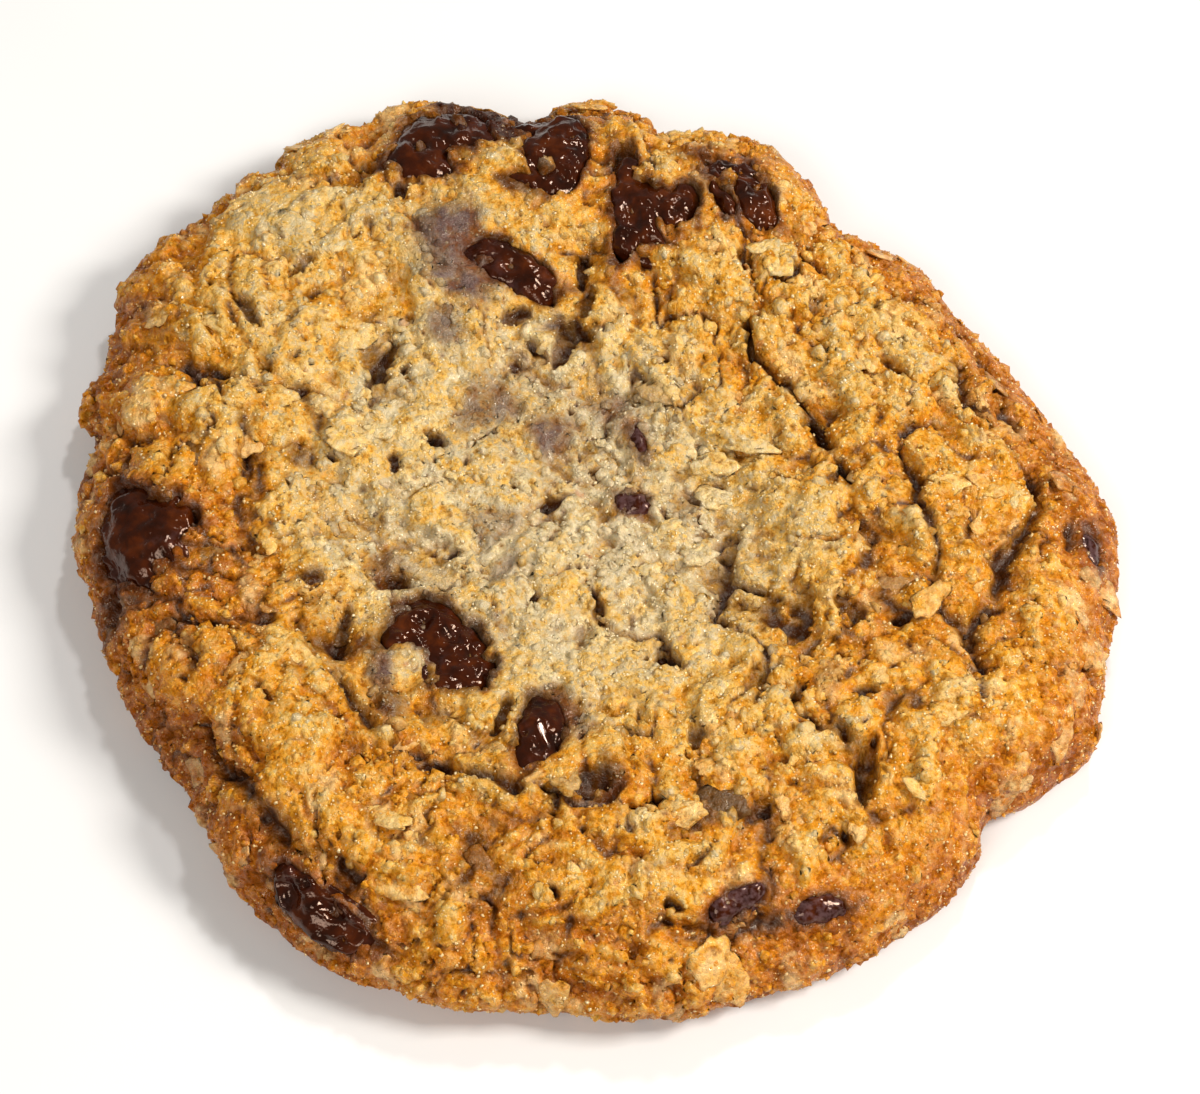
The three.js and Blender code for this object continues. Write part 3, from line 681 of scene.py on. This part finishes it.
def oatMesh():
    # each flake is a thin pad, cupped and frayed at its edge, nearly sunk in the crust at a lean
    u, v, draw = scatteredPlaces(oatFlakes["count"], oatFlakes["seed"], oatFlakes["reach"])
    looks = crust(u, v)
    keep = looks["exposed"] > oatFlakes["offChocolate"]
    u, v = u[keep], v[keep]
    looks = {key: looks[key][keep] for key in lookNames + ("height",)}
    count = len(u)
    looks["oat"] = 0.5 + 0.9 * draw.random(count)
    looks["tone"] = 0.6 * draw.random(count)
    template, faces = padTemplate(7)
    size = oatFlakes["shortest"] + (oatFlakes["longest"] - oatFlakes["shortest"]) * draw.random(count) ** 2.2
    width = size * (0.45 + 0.3 * draw.random(count))
    sizes = np.stack([size / 2, width / 2, np.full(count, oatFlakes["thickness"] / 2)], -1)
    shapes = np.repeat(template[None], count, 0)
    edge = np.arctan2(shapes[..., 1], shapes[..., 0])
    number = np.arange(count)[:, None]
    frayed = 1 + 0.13 * np.sin(3 * edge + number) + 0.09 * np.sin(5 * edge + 2.3 * number)
    frayed = frayed + 0.07 * np.sin(9 * edge + number)
    shapes[..., :2] *= frayed[..., None]
    along, across = shapes[..., 0], shapes[..., 1]
    cup = (along**2) * np.sin(1.7 * number) + 0.7 * along * across * np.sin(2.9 * number)
    shapes[..., 2] += 0.5 * cup
    turns = 2 * math.pi * draw.random(count)
    leans = np.radians(oatFlakes["lean"]) * draw.random(count)
    frames = turnedFrames(formNormal(u, v), turns, leans, 2 * math.pi * draw.random(count))
    places = crustPoints(u, v, looks) - formNormal(u, v) * (0.15 + 0.25 * draw.random(count))[:, None]
    points, allFaces = joinedCopies(shapes, faces, sizes, frames, places)
    return points, allFaces, {key: np.repeat(looks[key], len(template)) for key in lookNames + ("tone",)}


# Crumbs and grains bedded in the crust: how many, squares along the side of each pad, sizes in mm, and the
# share of its size that each is sunk by.
crumbReach = 0.955
crumbKinds = {
    "oaty_crumbs": {"count": 5400, "steps": 3, "smallest": 0.5, "largest": 1.7, "seed": 6, "sunk": 0.30},
    "fine_crumbs": {"count": 12400, "steps": 2, "smallest": 0.3, "largest": 0.85, "seed": 7, "sunk": 0.28},
    "sugar_grains": {"count": 12400, "steps": 2, "smallest": 0.18, "largest": 0.42, "seed": 8, "sunk": 0.12},
}


def crumbMesh(kind):
    # uneven grains partly sunk in the crust, none where shade is painted dark into cracks and hollows or on
    # the chocolate, each with its own tone
    u, v, draw = scatteredPlaces(kind["count"], kind["seed"], crumbReach)
    looks = crust(u, v)
    keep = (looks["exposed"] > 0.25) & (looks["dark"] < 0.5)
    u, v = u[keep], v[keep]
    looks = {key: looks[key][keep] for key in lookNames + ("height",)}
    count = len(u)
    looks["tone"] = draw.random(count)
    template, faces = padTemplate(kind["steps"])
    size = kind["smallest"] + (kind["largest"] - kind["smallest"]) * draw.random(count) ** 2.2
    sizes = size[:, None] / 2 * (0.65 + 0.6 * draw.random((count, 3)))
    shapes = template[None] * (0.75 + 0.5 * draw.random((count, len(template), 1)))
    frames = turnedFrames(formNormal(u, v), 2 * math.pi * draw.random(count),
                          0.8 * draw.random(count), 2 * math.pi * draw.random(count))
    places = crustPoints(u, v, looks) - formNormal(u, v) * (kind["sunk"] * size)[:, None]
    points, allFaces = joinedCopies(shapes, faces, sizes, frames, places)
    return points, allFaces, {key: np.repeat(looks[key], len(template)) for key in lookNames + ("tone",)}


def chocolateBlock(piece, steps):
    # a rounded block along the crust: both sheets of a pad pushed out to the block's outline, the top uneven
    template, faces = padTemplate(steps)
    length, width, depth = piece["size"]
    out = np.hypot(template[:, 0], template[:, 1])
    angle = np.arctan2(template[:, 1], template[:, 0])
    power = 3.2
    corner = (np.abs(np.cos(angle)) ** power + np.abs(np.sin(angle)) ** power) ** (-1 / power)
    p = out * corner * np.cos(angle) * (length / 2 + piece["margin"])
    q = out * corner * np.sin(angle) * (width / 2 + piece["margin"])
    turn = math.radians(piece["turn"])
    u = piece["place"][0] + p * math.cos(turn) - q * math.sin(turn)
    v = piece["place"][1] + p * math.sin(turn) + q * math.cos(turn)
    seed = piece["seed"]
    rounded = np.maximum(1 - out**4, 0) ** 0.25
    upper = template[:, 2] > 0
    # the top swells up where it shows and dips under the crust's edge, with small melted lumps on it
    inside = -pastExposedEdge(u, v, piece)
    swell = -0.75 + 0.75 * soften(inside, -0.9, 0.4) + piece.get("swell", 0.5) * soften(inside, 0.0, 2.6)
    melted = 0.34 * layeredNoise(u, v, 2.6, seed + 20) + 0.17 * softNoise(u, v, 0.8, seed + 24)
    beads = 0.22 * soften(softNoise(u, v, 0.62, seed + 28), 0.3, 0.9)
    beads = beads * (1 - 0.7 * soften(inside, 0.6, 1.4))
    top = swell - 0.3 + (melted + beads) * piece.get("wrinkles", 1.0)
    # a smooth facet along a line, leaning by a set amount to the right and away, fades in over the rest
    calm = np.zeros(len(u))
    if "facet" in piece:
        facet = piece["facet"]
        line = [flatPlace(x, y) for x, y in facet["line"]]
        fu, fv = np.mean(line, axis=0)
        normal = formNormal(fu, fv)
        lean = np.array(facet["lean"]) - normal[:2] / normal[2]
        calm = np.exp(-((distanceToPath(u, v, line) / facet["half"]) ** 4))
        flat = facet["level"] - lean[0] * (u - fu) - lean[1] * (v - fv)
        top = top * (1 - calm) + flat * calm
    half = depth / 2
    z = np.where(upper, -half + (half + top) * rounded, -half - half * rounded)
    points = onForm(u, v) + formNormal(u, v) * z[:, None]
    # bloom at the torn edges is dust; the small chips' own bloom is partly a painted sheen
    bloom = 0.3 * soften(layeredNoise(u, v, 2.2, seed + 40), 0.1, 0.7) * (1 - soften(inside, 0.3, 1.5))
    return points, faces, {"bloom": np.maximum(bloom, piece.get("dustAndSheen", 0.0)), "calm": calm}


def nodeTree(name):
    # a new material, its nodes and its shader
    material = bpy.data.materials.new(name)
    material.use_nodes = True
    tree = material.node_tree
    return material, tree, tree.nodes["Principled BSDF"]


def attributeNode(tree, name):
    # one of the numbers kept at the mesh's points
    node = tree.nodes.new("ShaderNodeAttribute")
    node.attribute_name = name
    return node.outputs["Fac"]


def noiseNode(tree, size, detail, roughness=0.55):
    # size is the width of its blots in mm
    place = tree.nodes.new("ShaderNodeTexCoord")
    node = tree.nodes.new("ShaderNodeTexNoise")
    setInputs(tree, node, {"Vector": place.outputs["Object"], "Scale": 1 / (size * mm), "Detail": detail,
                           "Roughness": roughness})
    return node.outputs["Fac"]


def grainNode(tree, size, wander, push):
    # cells of the given width round scattered points, read at a place pushed about by noise; all in mm
    place = tree.nodes.new("ShaderNodeTexCoord").outputs["Object"]
    noise = tree.nodes.new("ShaderNodeTexNoise")
    setInputs(tree, noise, {"Vector": place, "Scale": 1 / (wander * mm), "Detail": 1.0})
    moved = tree.nodes.new("ShaderNodeVectorMath")
    moved.operation = "MULTIPLY_ADD"
    tree.links.new(noise.outputs["Color"], moved.inputs[0])
    moved.inputs[1].default_value = (2 * push * mm,) * 3
    tree.links.new(place, moved.inputs[2])
    node = tree.nodes.new("ShaderNodeTexVoronoi")
    node.feature = "F1"
    setInputs(tree, node, {"Vector": moved.outputs["Vector"], "Scale": 1 / (size * mm)})
    return node


def setInput(tree, socket, value):
    if hasattr(value, "is_output"):
        tree.links.new(value, socket)
    else:
        socket.default_value = value


def setInputs(tree, node, values):
    for name, value in values.items():
        setInput(tree, node.inputs[name], value)


def mathNode(tree, operation, a, b, clamp=False):
    node = tree.nodes.new("ShaderNodeMath")
    node.operation = operation
    node.use_clamp = clamp
    setInput(tree, node.inputs[0], a)
    setInput(tree, node.inputs[1], b)
    return node.outputs[0]


def mapRange(tree, value, low, high, toLow, toHigh):
    node = tree.nodes.new("ShaderNodeMapRange")
    setInputs(tree, node, {"Value": value, "From Min": low, "From Max": high, "To Min": toLow,
                           "To Max": toHigh})
    return node.outputs["Result"]


def mixColour(tree, amount, a, b):
    node = tree.nodes.new("ShaderNodeMix")
    node.data_type = "RGBA"
    setInputs(tree, node, {"Factor": amount, "A": a, "B": b})
    return node.outputs["Result"]


def colourRamp(tree, value, stops):
    node = tree.nodes.new("ShaderNodeValToRGB")
    ramp = node.color_ramp
    while len(ramp.elements) < len(stops):
        ramp.elements.new(0.5)
    for element, (position, colour) in zip(ramp.elements, stops):
        element.position = position
        element.color = (*colour, 1)
    setInput(tree, node.inputs["Fac"], value)
    return node.outputs["Color"]


def bumpNode(tree, height):
    # height in mm
    node = tree.nodes.new("ShaderNodeBump")
    setInputs(tree, node, {"Height": height, "Strength": 1.0, "Distance": mm})
    return node.outputs["Normal"]


doughGrain = {"mottle": 1.4, "crumb": 0.95, "grain": 0.40, "crumbHeight": 0.45, "grainHeight": 0.08}  # in mm
doughTones = {  # linear colours
    "bake": [(0.0, (0.61, 0.485, 0.285)), (0.18, (0.53, 0.40, 0.20)), (0.40, (0.66, 0.385, 0.085)),
             (0.60, (0.62, 0.255, 0.014)), (0.80, (0.48, 0.148, 0.004)), (1.0, (0.26, 0.060, 0.002))],
    "stain": [(0.0, (0.30, 0.105, 0.014)), (0.6, (0.13, 0.036, 0.006)), (1.0, (0.040, 0.008, 0.002))],
    # the colours of the painted shade in cracks, hollows and pores, and of the base's darker patches
    "dark": [(0.35, (0.20, 0.060, 0.005)), (1.0, (0.045, 0.011, 0.001))],
    "oat": (0.82, 0.60, 0.26),
    "grey": (0.115, 0.062, 0.050),
    "speck": (0.36, 0.085, 0.010),
}


def bakedDough():
    material, tree, shader = nodeTree("baked dough")
    mottle = noiseNode(tree, doughGrain["mottle"], 2.0)
    # torn crumb, which also raises the bumps: painted light where it stands up and painted shade in its pores
    crumb = noiseNode(tree, doughGrain["crumb"], 4.0, 0.70)
    # grains, each with a tone, some of them glossy sugar
    cells = grainNode(tree, doughGrain["grain"], 0.6, 0.14)
    split = tree.nodes.new("ShaderNodeSeparateColor")
    tree.links.new(cells.outputs["Color"], split.inputs["Color"])
    # loose crumbs carry a tone of their own; on the crust itself it is 0
    bake = mathNode(tree, "ADD", attributeNode(tree, "bake"), mapRange(tree, mottle, 0.3, 0.7, -0.06, 0.06))
    # painted light and shade: paler where the crumb's bump stands up and browner in its pores
    bake = mathNode(tree, "ADD", bake, mapRange(tree, crumb, 0.3, 0.7, 0.15, -0.15))
    bake = mathNode(tree, "ADD", bake, mapRange(tree, split.outputs["Red"], 0.0, 1.0, -0.09, 0.07))
    bake = mathNode(tree, "ADD", bake, mapRange(tree, attributeNode(tree, "tone"), 0.0, 1.0, 0.0, -0.2), True)
    colour = colourRamp(tree, bake, doughTones["bake"])
    oat = mathNode(tree, "MULTIPLY", attributeNode(tree, "oat"), mapRange(tree, mottle, 0.35, 0.6, 0.0, 0.5))
    colour = mixColour(tree, oat, colour, (*doughTones["oat"], 1))
    speck = mathNode(tree, "MULTIPLY", attributeNode(tree, "speck"), 0.6)
    colour = mixColour(tree, speck, colour, (*doughTones["speck"], 1))
    colour = mixColour(tree, attributeNode(tree, "grey"), colour, (*doughTones["grey"], 1))
    # painted shade: the crust's dark share and the crumb's pores mix the colour towards the dark tones
    light = mathNode(tree, "SUBTRACT", 1.0, attributeNode(tree, "dark"))
    light = mathNode(tree, "MULTIPLY", light, mapRange(tree, crumb, 0.28, 0.44, 0.45, 1.0))
    dark = mathNode(tree, "SUBTRACT", 1.0, mathNode(tree, "POWER", light, 1.3))
    colour = mixColour(tree, dark, colour, colourRamp(tree, dark, doughTones["dark"]))
    stain = attributeNode(tree, "stain")
    colour = mixColour(tree, stain, colour, colourRamp(tree, stain, doughTones["stain"]))
    grainy = tree.nodes.new("ShaderNodeHueSaturation")
    tone = mapRange(tree, split.outputs["Green"], 0.0, 1.0, 0.82, 1.2)
    setInputs(tree, grainy, {"Value": tone, "Color": colour})
    # one height in mm for the bumps: the crumb and rounded grains
    height = mathNode(tree, "MULTIPLY", crumb, doughGrain["crumbHeight"])
    rounded = mathNode(tree, "MULTIPLY", cells.outputs["Distance"], doughGrain["grainHeight"])
    shader.subsurface_method = "BURLEY"
    setInputs(tree, shader, {
        "Base Color": grainy.outputs["Color"],
        "Roughness": mapRange(tree, split.outputs["Green"], 0.70, 0.78, 0.45, 0.13),
        "Normal": bumpNode(tree, mathNode(tree, "SUBTRACT", height, rounded)),
        "Specular IOR Level": mapRange(tree, crumb, 0.42, 0.62, 0.05, 1.0),  # only what stands up shines
        "Specular Tint": (1.0, 0.92, 0.80, 1),
        "Subsurface Weight": 0.2,
        "Subsurface Radius": (1.0, 0.45, 0.15),
        "Subsurface Scale": 0.6 * mm,
    })
    return material


sugarTones = [(0.0, (0.80, 0.68, 0.44)), (0.4, (0.74, 0.52, 0.22)), (1.0, (0.50, 0.22, 0.04))]


def sugarGrain():
    material, tree, shader = nodeTree("sugar grain")
    paler = mapRange(tree, attributeNode(tree, "tone"), 0.0, 1.0, 0.4, 1.0)
    colour = colourRamp(tree, mathNode(tree, "MULTIPLY", attributeNode(tree, "bake"), paler), sugarTones)
    stain = mathNode(tree, "MAXIMUM", attributeNode(tree, "stain"), attributeNode(tree, "grey"))
    colour = mixColour(tree, mathNode(tree, "MULTIPLY", stain, 0.8), colour, (*doughTones["grey"], 1))
    roughness = mapRange(tree, noiseNode(tree, 1.0, 2.0), 0.3, 0.7, 0.08, 0.22)
    setInputs(tree, shader, {"Base Color": colour, "Roughness": roughness, "Specular IOR Level": 0.9})
    return material


chocolateFinish = {  # widths and heights in mm, linear colours
    "mottle": 1.9, "fine": 0.5, "mottleHeight": 0.18, "fineHeight": 0.05,
    "tones": [(0.3, (0.01, 0.0012, 0.0001)), (0.52, (0.034, 0.0048, 0.0004)), (0.75, (0.088, 0.016, 0.0014))],
    # the bloom colour: dust on the chocolate, and on the small chips partly a painted sheen
    "bloom": (0.13, 0.070, 0.072),
}


def darkChocolate():
    material, tree, shader = nodeTree("dark chocolate")
    mottle = noiseNode(tree, chocolateFinish["mottle"], 3.0)
    fine = noiseNode(tree, chocolateFinish["fine"], 3.0)
    colour = colourRamp(tree, mottle, chocolateFinish["tones"])
    # bloom mixed in patches: dust, and on the small chips partly a painted sheen
    dustAndSheenPatches = mapRange(tree, fine, 0.40, 0.62, 0.0, 0.6)
    bloom = mathNode(tree, "MULTIPLY", attributeNode(tree, "bloom"), dustAndSheenPatches)
    # one height in mm for the bumps, none of them where the surface is calm
    height = mathNode(tree, "ADD", mathNode(tree, "MULTIPLY", mottle, chocolateFinish["mottleHeight"]),
                      mathNode(tree, "MULTIPLY", fine, chocolateFinish["fineHeight"]))
    height = mathNode(tree, "MULTIPLY", height, mathNode(tree, "SUBTRACT", 1.0, attributeNode(tree, "calm")))
    setInputs(tree, shader, {
        "Base Color": mixColour(tree, bloom, colour, (*chocolateFinish["bloom"], 1)),
        "Roughness": mapRange(tree, fine, 0.3, 0.7, 0.04, 0.16),
        "Normal": bumpNode(tree, height),
        "Specular IOR Level": 0.42,
        "Specular Tint": (1.0, 0.70, 0.54, 1),
    })
    return material


floorFinish = {"reach": 400.0, "blots": 60, "darker": (0.76, 0.75, 0.74, 1), "paler": (0.80, 0.79, 0.78, 1)}


def floorMaterial():
    material, tree, shader = nodeTree("pale floor")
    tone = mapRange(tree, noiseNode(tree, floorFinish["blots"], 2.0), 0.3, 0.7, 0.0, 1.0)
    colour = mixColour(tree, tone, floorFinish["darker"], floorFinish["paler"])
    setInputs(tree, shader, {"Base Color": colour, "Roughness": 0.7})
    return material


# The camera stands where the photograph was taken from: 58 degrees above the table, about five cookies away.
camera = {"elevation": 58.0, "distance": 460.0, "lens": 158.7, "aim": (0.56, -2.12, 5.0)}
daylight = {"colour": (1.0, 0.96, 0.90, 1), "strength": 0.24}
lamps = [  # name, direction towards the lamp, distance and side in metres, power in watts, colour
    ("window", (0.76, -0.05, 0.72), 0.55, 0.16, 3.15, (1.0, 0.97, 0.92)),
    ("room", (-0.25, -0.66, 0.72), 0.8, 0.34, 3.0, (1.0, 0.98, 0.95)),
    ("glint", (0.22, 0.55, 0.80), 0.55, 0.05, 0.85, (1.0, 1.0, 1.0)),
]


def aimAt(made, target):
    # turns a camera or lamp, which look along their own -Z, towards the target
    made.rotation_euler = (made.location - target).to_track_quat("Z", "Y").to_euler()


def setUpStudio():
    vector = type(cadBox[0])
    aim = vector(camera["aim"]) * mm
    rise = math.radians(camera["elevation"])
    view = bpy.data.cameras.new("camera")
    view.lens = camera["lens"]
    view.sensor_width = 36
    view.clip_start = 0.01
    eye = bpy.data.objects.new("camera", view)
    bpy.context.collection.objects.link(eye)
    eye.location = aim + vector((0, -math.cos(rise), math.sin(rise))) * camera["distance"] * mm
    aimAt(eye, aim)
    bpy.context.scene.camera = eye
    for name, towards, distance, side, power, colour in lamps:
        light = bpy.data.lights.new(name, "AREA")
        light.shape = "SQUARE"
        light.size = side
        light.energy = power
        light.color = colour
        lamp = bpy.data.objects.new(name, light)
        bpy.context.collection.objects.link(lamp)
        lamp.location = aim + vector(towards).normalized() * distance
        aimAt(lamp, aim)
    world = bpy.data.worlds.new("studio")
    world.use_nodes = True
    world.node_tree.nodes["Background"].inputs["Color"].default_value = daylight["colour"]
    world.node_tree.nodes["Background"].inputs["Strength"].default_value = daylight["strength"]
    bpy.context.scene.world = world
    bpy.context.scene.view_settings.view_transform = "Standard"


def layFloor():
    half = floorFinish["reach"]
    corners = np.array([(-half, -half, 0), (half, -half, 0), (half, half, 0), (-half, half, 0)])
    made = makeMesh("floor", corners, np.array([(0, 1, 2), (0, 2, 3)]), {}, floorMaterial())


print("cookie: plain form", round(surfaceReach, 1), "mm from the middle to the base")
points, faces, looks = doughMesh()
centre = (points.min(0) + points.max(0)) / 2
shift = np.array([-centre[0], -centre[1], -points[:, 2].min()])
print("shift to the middle of the box:", shift.round(3))
dough, sugar = bakedDough(), sugarGrain()
print("materials ready:", dough.name, "and", sugar.name)
dress(makeMesh("cookie_crust", points + shift, faces, looks, dough), "cookie_dough")

for name, kind in crumbKinds.items():
    points, faces, looks = crumbMesh(kind)
    dress(makeMesh(name, points + shift, faces, looks, sugar if name == "sugar_grains" else dough),
          "cookie_dough")

points, faces, looks = oatMesh()
dress(makeMesh("oat_flakes", points + shift, faces, looks, dough), "cookie_dough")

# The nine pieces of chocolate are each a mesh, with finer pads, and the small chips are one mesh together.
chocolate = darkChocolate()
pieceSteps, chipSteps = 56, 16
chipParts = []
for piece in chocolatePieces:
    points, faces, looks = chocolateBlock(piece, pieceSteps if piece["name"] else chipSteps)
    if piece["name"]:
        made = makeMesh(piece["name"] + "_piece", points + shift, faces, looks, chocolate)
        dress(made, piece["name"])
    else:
        chipParts.append((points, faces, looks))
starts = np.cumsum([0] + [len(part[0]) for part in chipParts])
points = np.vstack([part[0] for part in chipParts])
faces = np.vstack([part[1] + start for part, start in zip(chipParts, starts)])
looks = {key: np.concatenate([part[2][key] for part in chipParts]) for key in ("bloom", "calm")}
chips = makeMesh("small_chocolate_chips", points + shift, faces, looks, chocolate)
dress(chips, "cookie_dough")

layFloor()
setUpStudio()
print("box of the solids", [tuple(round(c / mm, 2) for c in corner) for corner in cadBox])
